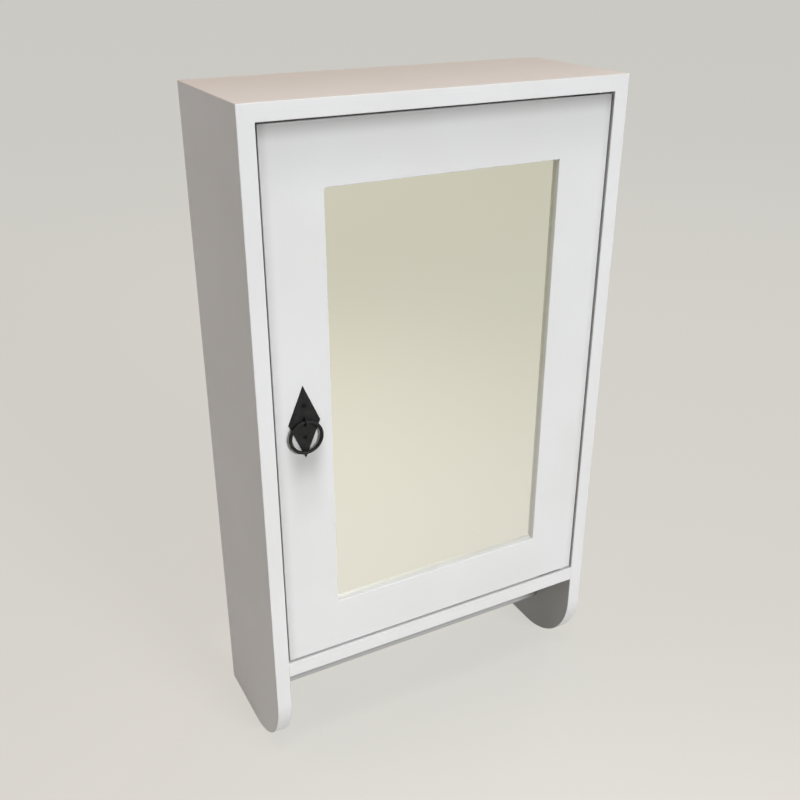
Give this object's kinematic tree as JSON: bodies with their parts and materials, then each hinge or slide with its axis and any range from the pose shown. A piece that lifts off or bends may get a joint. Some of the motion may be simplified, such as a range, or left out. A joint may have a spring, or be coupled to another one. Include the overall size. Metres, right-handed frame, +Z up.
{
  "type": "bathroom mirror cabinet",
  "caption": "Wall-hung bathroom cabinet with a framed mirror door on pivot hinges, an iron ring pull, inner shelves and a towel rail between its wings.",
  "frame": {"origin": "on the wall plane, midway between the two wall screw holes", "axes": "+X to the right of someone facing the mirror, +Y into the wall, +Z up"},
  "size_m": [0.45, 0.1851, 0.793],
  "materials": {
    "white_paint": "satin white paint on wood, edges eased",
    "bare_wood": "bare beech",
    "hardboard": "plain brown hardboard",
    "mirror": "float glass silvered on the back",
    "black_iron": "forged iron, blackened, matt",
    "steel": "zinc-plated steel",
    "ferrite": "dark grey ferrite",
    "white_plastic": "moulded, matt",
    "rubber": "soft, translucent grey"
  },
  "bodies": {
    "cabinet": {"left_side": "white_paint", "right_side": "white_paint", "top_panel": "white_paint", "bottom_panel": "white_paint", "back_panel": "white_paint", "hanging_rail": "white_paint", "carcass_dowels": "bare_wood", "back_panel_screws": "steel", "towel_rail": "white_paint", "lower_shelf": "white_paint", "upper_shelf": "white_paint", "shelf_pins": "steel", "stop_strip": "white_paint", "stop_bumpers": "rubber", "catch_housing": "white_plastic", "catch_magnet": "ferrite", "catch_poles": "steel", "catch_screws": "steel", "upper_frame_leaf": "steel", "lower_frame_leaf": "steel", "upper_pivot_pin": "steel", "lower_pivot_pin": "steel", "thrust_washer": "white_plastic", "frame_leaf_screws": "steel"},
    "door": {"handle_stile": "white_paint", "hinge_stile": "white_paint", "top_rail": "white_paint", "bottom_rail": "white_paint", "mirror_glass": "mirror", "mirror_backing": "hardboard", "left_bead": "white_paint", "right_bead": "white_paint", "top_bead": "white_paint", "bottom_bead": "white_paint", "bead_pins": "steel", "upper_door_leaf": "steel", "lower_door_leaf": "steel", "door_leaf_screws": "steel", "strike_plate": "steel", "strike_screw": "steel", "pull_plate": "black_iron", "pull_screws": "black_iron", "pull_staple": "black_iron"},
    "ring": {"pull_ring": "black_iron"}
  },
  "joints": [
    {"name": "door_swing", "type": "hinge", "parent": "cabinet", "child": "door", "pos_m": [0.193, -0.1693, -0.283], "axis": [0, 0, 1], "range_deg": [0, 120]},
    {"name": "ring_swing", "type": "hinge", "parent": "door", "child": "ring", "pos_m": [-0.1725, -0.1802, -0.2814], "axis": [-1, 0, 0], "range_deg": [-0.4, 180]}
  ]
}
